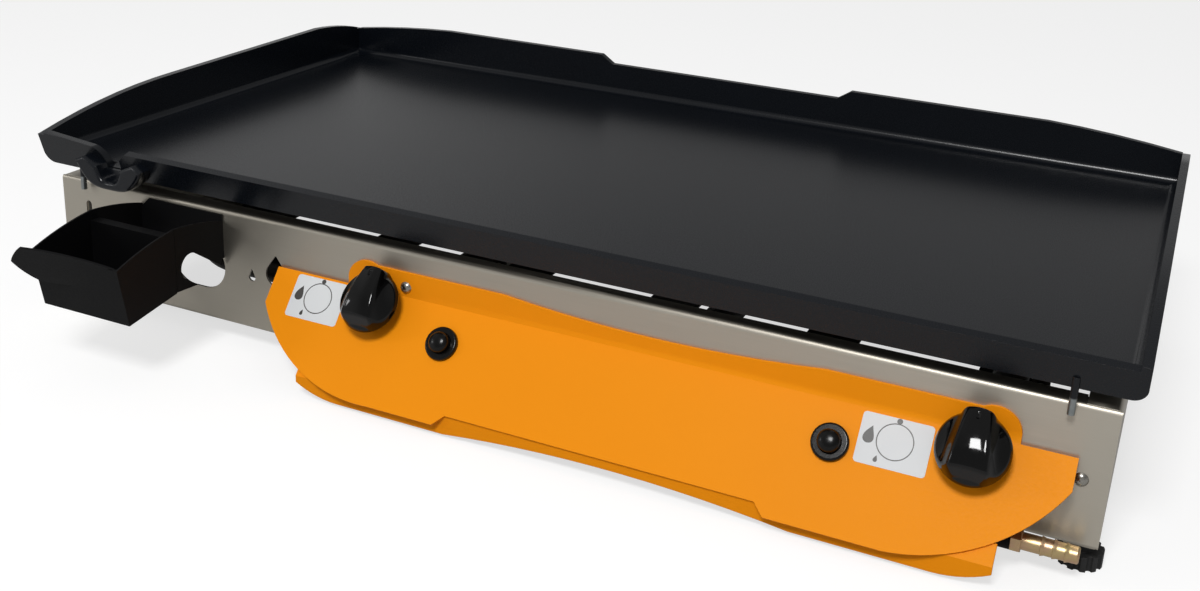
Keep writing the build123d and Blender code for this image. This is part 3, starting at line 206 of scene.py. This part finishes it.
# Mild steel stud, dull grey: painted black above as painted shade under the plate's lip, its lower free end left
# in the steel's colour
stud = {"bare": "#A3A8A8", "cloud": "#7D8282", "roughness": (0.3, 0.42), "grainMm": 0.8, "cloudMm": 4,
        "unshadedEndMm": 11.0, "fadeMm": 1.0}


def studWithPaintedShade():
    material, tree, shader, place = startMaterial("steel_stud_painted_shade")
    end = min(corner.co.z for corner in nodes["plate_studs"].data.vertices)
    axes = addNode(tree, "ShaderNodeSeparateXYZ", Vector=place)
    # painted shade: above its lower end the stud is coloured black, standing in for the shade under the lip
    bare = addNode(tree, "ShaderNodeMapRange", Value=axes.outputs["Z"], From_Min=end + stud["unshadedEndMm"] * mm,
                   From_Max=end + (stud["unshadedEndMm"] - stud["fadeMm"]) * mm)
    cloud = addNode(tree, "ShaderNodeTexNoise", Vector=place, Scale=perMetre(stud["cloudMm"]), Detail=3.0)
    grain = addNode(tree, "ShaderNodeTexNoise", Vector=place, Scale=perMetre(stud["grainMm"]), Detail=2.0)
    steel = addNode(tree, "ShaderNodeMix", {"data_type": "RGBA"}, Factor=cloud.outputs["Fac"],
                    at6=hexColour(stud["bare"]), at7=hexColour(stud["cloud"]))
    tone = addNode(tree, "ShaderNodeMix", {"data_type": "RGBA"}, Factor=bare.outputs[0],
                   at6=hexColour(enamel["colour"]), at7=steel.outputs[2])
    low, high = stud["roughness"]
    rough = addNode(tree, "ShaderNodeMapRange", Value=grain.outputs["Fac"], From_Min=grainSpan[0],
                    From_Max=grainSpan[1], To_Min=low, To_Max=high)
    shader.inputs["Specular IOR Level"].default_value = enamel["specular"]
    join(tree, shader, Base_Color=tone.outputs[2], Metallic=bare.outputs[0], Roughness=rough.outputs[0])
    return material


finishes = {
    "black_enamel": firedBlackEnamel(),
    "stainless": brushedStainless(),
    "orange_coat": coatedSurface("orange_powder_coat", orangePowder),
    "black_coat": coatedSurface("matt_black_coat", mattBlack),
    "black_knob": coatedSurface("polished_black_phenolic", polishedPhenolic),
    "black_plastic": coatedSurface("moulded_black_nylon", mouldedNylon),
    "rubber": coatedSurface("moulded_black_rubber", mouldedRubber),
    "bright_steel": coatedSurface("plated_zinc_steel", platedZinc),
    "yellow_zinc": coatedSurface("yellow_passivated_zinc", yellowZinc),
    "brass": coatedSurface("turned_brass", turnedBrass),
    "dark_steel": coatedSurface("heat_browned_steel", heatedSteel),
    "ceramic": coatedSurface("glazed_ceramic", glazedCeramic),
}
studShadeFinish = studWithPaintedShade()
filmFinish = coatedSurface("printed_label_film", labelFilm)
inkFinish = coatedSurface("black_print_ink", printInk)

slotOf = {row["node"]: row["material_slot"] for row in frame["record"]["subparts"]}
for name, piece in nodes.items():
    piece.data.materials.clear()
    piece.data.materials.append(studShadeFinish if name == "plate_studs" else finishes[slotOf[name]])
print("finishes on", len(nodes), "pieces")


# Folded and cut edges, rounded by these radii in millimetres where they show
edgeRadii = {"griddle_plate": 1.2, "front_panel": 0.35, "rear_panel": 0.35, "left_side_panel": 0.35,
             "right_side_panel": 0.35, "control_panel": 0.5, "lower_skirt": 0.5, "drip_tray": 0.4,
             "tray_bracket": 0.4, "rubber_feet": 1.2, "hose_nozzle": 0.25, "plate_studs": 0.5}
# Corners nearer than this are joined, in millimetres; the angles are in degrees
edgeWork = {"join": 0.002, "flatAngle": 0.5, "roundAngle": 40, "segments": 3, "shadeAngle": 32}


def shadeByAngle(limit):
    # shades a mesh smooth, apart from edges sharper than the limit in degrees
    group = bpy.data.node_groups.new("shade_by_angle", "GeometryNodeTree")
    group.interface.new_socket("Geometry", in_out="INPUT", socket_type="NodeSocketGeometry")
    group.interface.new_socket("Geometry", in_out="OUTPUT", socket_type="NodeSocketGeometry")
    start = addNode(group, "NodeGroupInput").outputs[0]
    bare = addNode(group, "GeometryNodeRemoveAttribute", Geometry=start, Name="custom_normal")
    smooth = addNode(group, "GeometryNodeSetShadeSmooth", Geometry=bare.outputs[0])
    angle = addNode(group, "GeometryNodeInputMeshEdgeAngle").outputs["Unsigned Angle"]
    sharp = addNode(group, "ShaderNodeMath", {"operation": "GREATER_THAN"}, at0=angle,
                    at1=math.radians(limit))
    crisp = addNode(group, "GeometryNodeSetShadeSmooth", {"domain": "EDGE"}, at0=smooth.outputs[0],
                    at1=sharp.outputs[0], at2=False)
    addNode(group, "NodeGroupOutput", Geometry=crisp.outputs[0])
    return group


smoothShading = shadeByAngle(edgeWork["shadeAngle"])


def roundEdges(piece, radius):
    # joins split corners and flat faces first, so that the rounding runs along whole edges
    weld = piece.modifiers.new("join_corners", "WELD")
    weld.merge_threshold = edgeWork["join"] * mm
    flat = piece.modifiers.new("join_flats", "DECIMATE")
    flat.decimate_type = "DISSOLVE"
    flat.angle_limit = math.radians(edgeWork["flatAngle"])
    bevel = piece.modifiers.new("edge_rounds", "BEVEL")
    bevel.width = radius * mm
    bevel.segments = edgeWork["segments"]
    bevel.limit_method = "ANGLE"
    bevel.angle_limit = math.radians(edgeWork["roundAngle"])
    shade = piece.modifiers.new("shading", "NODES")
    shade.node_group = smoothShading
    level = piece.modifiers.new("flat_faces", "WEIGHTED_NORMAL")
    level.keep_sharp = True


for name, radius in edgeRadii.items():
    roundEdges(nodes[name], radius)
print("edges rounded on", len(edgeRadii), "pieces")


# Printed labels on the leaning face, beside the knobs: a ring, a dot for off, a large flame and a small one
label = {"width": 44 * mm, "height": 32 * mm, "corner": 2.4 * mm, "thick": 0.15 * mm, "lift": 0.02 * mm,
         "centres": {"left": (-50 * mm, 5.7 * mm), "right": (-47 * mm, 6 * mm)}, "ink": 0.03 * mm,
         "cornerSteps": 8,
         "ring": {"centre": (0.4 * mm, 1.2 * mm), "radius": 11.2 * mm, "line": 0.7 * mm, "steps": 72},
         "dot": {"centre": (0.6 * mm, 14.2 * mm), "radius": 1.75 * mm, "steps": 32},
         "flames": [{"centre": (-16 * mm, 0.4 * mm), "radius": 3.4 * mm},
                    {"centre": (-8.9 * mm, -12.1 * mm), "radius": 1.3 * mm}]}
# The flame's drop, in shares of its radius
drop = {"steps": 48, "tall": 1.66, "raised": 0.64, "wide": 1.4, "taper": 1.4, "lean": 0.44, "top": 2.3}


def facePlace(side):
    # the leaning face at a knob's axis: across, up the face, and out of it
    turn = joints[side + "_knob_turn"]
    out = Vector(turn["axis"]).normalized()
    across = Vector((1, 0, 0))
    return Vector(turn["pos_m"]), across, out.cross(across), out


def meshPiece(name, build, material, body):
    # a new piece that rides on a body; build fills its mesh
    mesh = bpy.data.meshes.new(name)
    work = bmesh.new()
    build(work)
    bmesh.ops.recalc_face_normals(work, faces=work.faces)
    work.to_mesh(mesh)
    work.free()
    mesh.materials.append(material)
    piece = bpy.data.objects.new(name, mesh)
    bpy.context.scene.collection.objects.link(piece)
    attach(piece, body)
    return piece


def raisedOutline(work, outline, place, low, high):
    # a flat outline given as (across, up), raised between two heights over the face
    origin, across, up, out = place
    rims = []
    for height in (low, high):
        rims.append([work.verts.new(origin + across * u + up * v + out * height) for u, v in outline])
    work.faces.new(rims[0][::-1])
    work.faces.new(rims[1])
    count = len(outline)
    for i in range(count):
        j = (i + 1) % count
        work.faces.new((rims[0][i], rims[0][j], rims[1][j], rims[1][i]))


def arcPoints(centre, radius, start, end, steps):
    turns = [math.radians(start + (end - start) * i / steps) for i in range(steps + 1)]
    return [(centre[0] + radius * math.cos(t), centre[1] + radius * math.sin(t)) for t in turns]


def roundedRectangle(width, height, corner):
    points = []
    for sx, sy, start in ((1, 1, 0), (-1, 1, 90), (-1, -1, 180), (1, -1, 270)):
        centre = (sx * (width / 2 - corner), sy * (height / 2 - corner))
        points += arcPoints(centre, corner, start, start + 90, label["cornerSteps"])
    return points


def flameOutline(centre, radius):
    # a drop with its point above, leaning to the right
    points = []
    for i in range(drop["steps"]):
        turn = 2 * math.pi * i / drop["steps"]
        up = radius * (drop["tall"] * math.cos(turn) + drop["raised"])
        across = drop["wide"] * radius * math.sin(turn) * math.sin(turn / 2) ** drop["taper"]
        across += drop["lean"] * radius * (max(up, 0) / (drop["top"] * radius)) ** 2
        points.append((centre[0] + across, centre[1] + up))
    return points


def ringBand(work, ring, place, low, high):
    # a flat ring with square edges
    origin, across, up, out = place
    half = ring["line"] / 2
    loops = []
    for reach, height in ((-half, low), (half, low), (half, high), (-half, high)):
        points = arcPoints(ring["centre"], ring["radius"] + reach, 0, 360, ring["steps"])[:-1]
        loops.append([work.verts.new(origin + across * u + up * v + out * height) for u, v in points])
    count = len(loops[0])
    for a, b in zip(loops, loops[1:] + loops[:1]):
        for i in range(count):
            j = (i + 1) % count
            work.faces.new((a[i], a[j], b[j], b[i]))


def makeLabel(side):
    origin, across, up, out = facePlace(side)
    shift = label["centres"][side]
    place = (origin + across * shift[0] - up * shift[1], across, up, out)
    outline = roundedRectangle(label["width"], label["height"], label["corner"])
    top = label["lift"] + label["thick"]
    inkTop = top + label["ink"]

    def film(work):
        raisedOutline(work, outline, place, label["lift"], top)

    def ink(work):
        dot = label["dot"]
        ringBand(work, label["ring"], place, top, inkTop)
        spot = arcPoints(dot["centre"], dot["radius"], 0, 360, dot["steps"])[:-1]
        raisedOutline(work, spot, place, top, inkTop)
        for flame in label["flames"]:
            raisedOutline(work, flameOutline(flame["centre"], flame["radius"]), place, top, inkTop)

    meshPiece(side + "_label", film, filmFinish, "chassis")
    meshPiece(side + "_label_print", ink, inkFinish, "chassis")


for side in sides:
    makeLabel(side)
print("labels made")


# Knobs: a low dome with a bar grip across it, moulded in one piece; millimetres over the leaning face
knob = {"radius": 22.5, "gap": 12.0, "height": 16.5, "rim": 3.4, "dome": 6.2,
        "barHalf": 7.6, "narrow": 0.12, "crown": 4.6, "crossCrown": 0.6, "flank": 4.6, "flankPower": 3,
        "skirt": 1.4, "wall": 3.49, "wallBlend": 3.2,
        "nose": 1.6, "noseWall": 12.0, "noseFrom": 0.86, "noseSpan": 0.1,
        "end": -13.5, "endTop": 15.0, "endSlope": 1.75, "endBlend": 1.6,
        "markHalf": 0.8, "mark": (15.5, 20.5), "markDepth": 0.6, "turns": 200, "rings": 60,
        "under": [(22.3, 0.0), (19.5, 0.0), (19.5, 2.0), (8.2, 2.0), (8.2, 0.6), (4.3, 0.6), (4.3, 14.0),
                  (0.0, 14.0)]}


def smoothMin(a, b, blend):
    # the lesser of two heights, rounded where they cross
    share = max(blend - abs(a - b), 0) / blend
    return min(a, b) - share * share * blend / 4


def noseShare(u, v):
    # 1 at the upper end of the bar, where it stands out over the base, 0 elsewhere
    reach = math.hypot(u, v)
    share = min(1, max(0, (v / reach - knob["noseFrom"]) / knob["noseSpan"])) if reach else 0
    return share * share * (3 - 2 * share)


def knobHeight(u, v):
    reach = math.hypot(u, v)
    nose = noseShare(u, v)
    dome = knob["rim"] + knob["dome"] * (1 - (reach / knob["radius"]) ** 2)
    # the bar's crowned top, its sloping lower end and its flanks
    half = knob["barHalf"] - knob["narrow"] * v
    crest = knob["height"] - knob["crown"] * (v / knob["radius"]) ** 2
    crest -= knob["crossCrown"] * min(1, abs(u) / half) ** 2
    slope = knob["endTop"] + (v - knob["end"]) * knob["endSlope"]
    crest = smoothMin(crest, slope, knob["endBlend"])
    aside = max(abs(u) - half, 0) / knob["flank"]
    height = dome + max(crest - dome, 0) / (1 + aside ** knob["flankPower"])
    # the outer wall, and the pointer's groove
    inside = knob["radius"] + knob["nose"] * nose - reach
    wall = knob["skirt"] + inside * (knob["wall"] + knob["noseWall"] * nose)
    height = smoothMin(height, wall, knob["wallBlend"])
    across = max(0, 1 - (u / knob["markHalf"]) ** 2)
    start, end = knob["mark"]
    along = min(1, max(0, v - start)) * min(1, max(0, end - v))
    return height - knob["markDepth"] * min(1, 2 * across) * along


def turnedRings(work, place, rings):
    # closed skin through rings of points, each given as (across, up, out); single points close the ends
    origin, across, up, out = place
    loops = []
    for ring in rings:
        loops.append([work.verts.new(origin + (across * u + up * v + out * h) * mm) for u, v, h in ring])
    for a, b in zip(loops, loops[1:]):
        count = max(len(a), len(b))
        for i in range(count):
            j = (i + 1) % count
            if len(a) == 1:
                work.faces.new((a[0], b[j], b[i]))
            elif len(b) == 1:
                work.faces.new((a[i], a[j], b[0]))
            else:
                work.faces.new((a[i], a[j], b[j], b[i]))
    return loops


def circleRing(radius, height, count):
    if radius == 0:
        return [(0, 0, height)]
    return [(u, v, height) for u, v in arcPoints((0, 0), radius, 0, 360, count)[:-1]]


def shadeSmooth(piece):
    for face in piece.data.polygons:
        face.use_smooth = True


def makeKnob(side):
    place = facePlace(side)
    rings = [[(0, 0, knob["gap"] + knobHeight(0, 0))]]
    outline = []
    for u, v in arcPoints((0, 0), 1, 0, 360, knob["turns"])[:-1]:
        reach = knob["radius"] + knob["nose"] * noseShare(u, v)
        outline.append((u * reach, v * reach))
    for step in range(1, knob["rings"] + 1):
        share = math.sin(math.pi / 2 * step / knob["rings"])
        inner = [(u * share, v * share) for u, v in outline]
        rings.append([(u, v, knob["gap"] + knobHeight(u, v)) for u, v in inner])
    for radius, height in knob["under"]:
        rings.append(circleRing(radius, knob["gap"] + height, knob["turns"]))

    def body(work):
        turnedRings(work, place, rings)

    piece = meshPiece(side + "_knob_moulding", body, finishes["black_knob"], side + "_knob")
    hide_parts(side + "_knob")
    shadeSmooth(piece)


# Igniter buttons: round, with a low dome on top; radius and height in millimetres
button = {"profile": [(0, 11.0), (1.5, 10.94), (3.0, 10.74), (4.4, 10.36), (5.6, 9.8), (6.5, 9.1),
                      (7.1, 8.3), (7.4, 7.4), (7.5, 6.4), (7.5, -13.0), (0, -13.0)], "turns": 64}


def makeButton(side):
    push = joints[side + "_button_push"]
    low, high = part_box(side + "_igniter_button")
    out = -Vector(push["axis"]).normalized()
    across = Vector((1, 0, 0))
    middle = (low + high) / 2
    reach = (button["profile"][0][1] + button["profile"][-1][1]) / 2 * mm
    place = (middle - out * reach, across, out.cross(across), out)
    rings = [circleRing(radius, height, button["turns"]) for radius, height in button["profile"]]

    def body(work):
        turnedRings(work, place, rings)

    piece = meshPiece(side + "_button_moulding", body, finishes["black_plastic"], side + "_button")
    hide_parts(side + "_igniter_button")
    shadeSmooth(piece)


for side in sides:
    makeKnob(side)
    makeButton(side)
print("knobs and buttons made")


# Pouring spout: a thick open trough under the notch in the lip, with its ears turned up; millimetres
spout = {"shift": 2.0, "half": 32.5, "drop": 15.0, "outerRise": 20.0, "outerPower": 3.5,
         "earIn": 24.0, "earTop": 8.8, "throat": 11.5, "throatTop": 3.0, "channel": -8.5,
         "channelPower": 4.0, "deckGap": 0.6, "wallAt": 9.0, "backAt": 12.1, "steps": 20,
         "round": 3.0, "roundSteps": 6, "edge": 0.4, "join": 0.001}


def spoutOutline(closed):
    # seen from the front: the underside from left to right, the right ear, the channel, the left ear
    shares = [i / spout["steps"] for i in range(-spout["steps"], spout["steps"] + 1)]
    under = []
    for s in shares:
        belly = spout["outerRise"] * abs(s) ** spout["outerPower"] - spout["drop"]
        under.append((spout["half"] * s, belly))
    channel = []
    rise = spout["throatTop"] - spout["channel"]
    for s in reversed(shares):
        bed = spout["channel"] + rise * abs(s) ** spout["channelPower"]
        channel.append((spout["throat"] * s, max(bed, -spout["deckGap"]) if closed else bed))
    return under + [(spout["earIn"], spout["earTop"])] + channel + [(-spout["earIn"], spout["earTop"])]


def insetOutline(points, amount):
    # each point moved square to its outline, inwards for an outline that runs anticlockwise
    moved = []
    for i, here in enumerate(points):
        before, after = Vector(points[i - 1]), Vector(points[(i + 1) % len(points)])
        run = (after - before).normalized()
        moved.append((here[0] - run.y * amount, here[1] + run.x * amount))
    return moved


def makeSpout():
    low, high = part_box("pour_spout")
    origin = Vector(((low.x + high.x) / 2 + spout["shift"] * mm, low.y, low.z + spout["drop"] * mm))
    place = (origin, Vector((1, 0, 0)), Vector((0, 0, 1)), Vector((0, 1, 0)))
    rings = []
    for step in range(spout["roundSteps"] + 1):
        turn = math.pi / 2 * step / spout["roundSteps"]
        rim = insetOutline(spoutOutline(False), spout["round"] * (1 - math.sin(turn)))
        rings.append([(u, v, spout["round"] * (1 - math.cos(turn))) for u, v in rim])
    for closed, depth in ((False, spout["wallAt"]), (True, spout["wallAt"]), (True, spout["backAt"])):
        rings.append([(u, v, depth) for u, v in spoutOutline(closed)])

    def body(work):
        loops = turnedRings(work, place, rings)
        work.faces.new(loops[0])
        work.faces.new(loops[-1])
        bmesh.ops.remove_doubles(work, verts=work.verts, dist=spout["join"] * mm)

    piece = meshPiece("pour_spout_trough", body, finishes["black_enamel"], "griddle")
    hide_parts("pour_spout")
    roundEdges(piece, spout["edge"])


makeSpout()
print("spout made")


# Floor, in metres: near white to the eye and pale in reflections, and it still takes a soft shadow
floor = {"size": 60.0, "below": 0.0005, "colour": "#A8A8A8", "seen": 0.68, "mirrored": 0.2}


def makeFloor():
    bpy.ops.mesh.primitive_plane_add(size=floor["size"], location=(0, 0, -floor["below"]))
    plane = bpy.context.object
    plane.name = "floor"
    material = bpy.data.materials.new("pale_floor")
    material.use_nodes = True
    tree = material.node_tree
    tree.nodes.clear()
    path = addNode(tree, "ShaderNodeLightPath")
    mirrored = addNode(tree, "ShaderNodeMath", {"operation": "MAXIMUM"}, at0=path.outputs["Is Glossy Ray"],
                       at1=path.outputs["Is Transmission Ray"])
    eye = addNode(tree, "ShaderNodeMath", {"operation": "MULTIPLY"}, at0=path.outputs["Is Camera Ray"],
                  at1=floor["seen"])
    strength = addNode(tree, "ShaderNodeMath", {"operation": "MULTIPLY_ADD"}, at0=mirrored.outputs[0],
                       at1=floor["mirrored"], at2=eye.outputs[0])
    glow = addNode(tree, "ShaderNodeEmission", Strength=strength.outputs[0])
    paper = addNode(tree, "ShaderNodeBsdfDiffuse", Color=hexColour(floor["colour"]))
    both = addNode(tree, "ShaderNodeAddShader", at0=glow.outputs[0], at1=paper.outputs[0])
    addNode(tree, "ShaderNodeOutputMaterial", Surface=both.outputs[0])
    plane.data.materials.append(material)


# Room light: pale at the horizon, dim above it, paler overhead, and brighter from the left
room = {"rise": [(0.0, 0.7), (0.1, 0.46), (0.3, 0.34), (0.62, 0.3), (0.85, 0.42)],
        "brightSide": (-1.0, 0.0, 0.0), "span": (0.33, 0.62), "sides": (0.84, 1.45)}
# A soft box over the front and a small one at the left, in metres
softBoxes = [
    {"name": "key_box", "place": (0.29, -1.65, 1.86), "size": (0.6, 0.5), "watts": 36},
    {"name": "side_box", "place": (-1.7, -1.3, 0.9), "size": (0.3, 0.3), "watts": 3},
]


def makeLight():
    world = bpy.context.scene.world or bpy.data.worlds.new("room")
    bpy.context.scene.world = world
    world.use_nodes = True
    tree = world.node_tree
    tree.nodes.clear()
    way = addNode(tree, "ShaderNodeTexCoord").outputs["Generated"]
    axes = addNode(tree, "ShaderNodeSeparateXYZ", Vector=way)
    ramp = addNode(tree, "ShaderNodeValToRGB", Fac=axes.outputs["Z"])
    stops = ramp.color_ramp.elements
    while len(stops) < len(room["rise"]):
        stops.new(0.5)
    for stop, (position, level) in zip(stops, room["rise"]):
        stop.position = position
        stop.color = (level, level, level, 1)
    side = addNode(tree, "ShaderNodeVectorMath", {"operation": "DOT_PRODUCT"}, at0=way,
                   at1=room["brightSide"])
    start, end = room["span"]
    low, high = room["sides"]
    strength = addNode(tree, "ShaderNodeMapRange", {"interpolation_type": "SMOOTHSTEP"},
                       Value=side.outputs["Value"], From_Min=start, From_Max=end, To_Min=low, To_Max=high)
    sky = addNode(tree, "ShaderNodeBackground", Color=ramp.outputs["Color"], Strength=strength.outputs[0])
    addNode(tree, "ShaderNodeOutputWorld", Surface=sky.outputs[0])
    for box in softBoxes:
        lamp = bpy.data.lights.new(box["name"], "AREA")
        lamp.shape = "RECTANGLE"
        lamp.size, lamp.size_y = box["size"]
        lamp.energy = box["watts"]
        holder = bpy.data.objects.new(box["name"], lamp)
        holder.location = box["place"]
        holder.rotation_mode = "QUATERNION"
        holder.rotation_quaternion = (-Vector(box["place"])).to_track_quat("-Z", "Y")
        bpy.context.scene.collection.objects.link(holder)


# Camera, measured from the middle of the chassis front's lower edge, in the photograph's frame
view = {"place": (405.4 * mm, -758.4 * mm, 448.0 * mm), "azimuth": 23.91, "elevation": 18.46, "roll": 2.73,
        "lens": 40.752, "sensor": 36.0, "shift": (-0.00175, -0.09542)}


def makeCamera():
    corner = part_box("front_panel")[0]
    turn, rise, roll = (math.radians(view[key]) for key in ("azimuth", "elevation", "roll"))
    back = Vector((math.sin(turn) * math.cos(rise), -math.cos(turn) * math.cos(rise), math.sin(rise)))
    right = (-back).cross(Vector((0, 0, 1))).normalized()
    up = right.cross(-back)
    sideways = right * math.cos(roll) + up * math.sin(roll)
    upright = up * math.cos(roll) - right * math.sin(roll)
    data = bpy.data.cameras.new("camera")
    data.sensor_width = view["sensor"]
    data.lens = view["lens"]
    data.shift_x, data.shift_y = view["shift"]
    camera = bpy.data.objects.new("camera", data)
    turned = Matrix((sideways, upright, back)).transposed().to_4x4()
    stand = Vector((0, corner.y, corner.z)) + Vector(view["place"])
    camera.matrix_world = Matrix.Translation(stand) @ turned
    bpy.context.scene.collection.objects.link(camera)
    bpy.context.scene.camera = camera


makeFloor()
makeLight()
makeCamera()
bpy.context.scene.view_settings.view_transform = "Standard"
print("floor, light and camera placed")
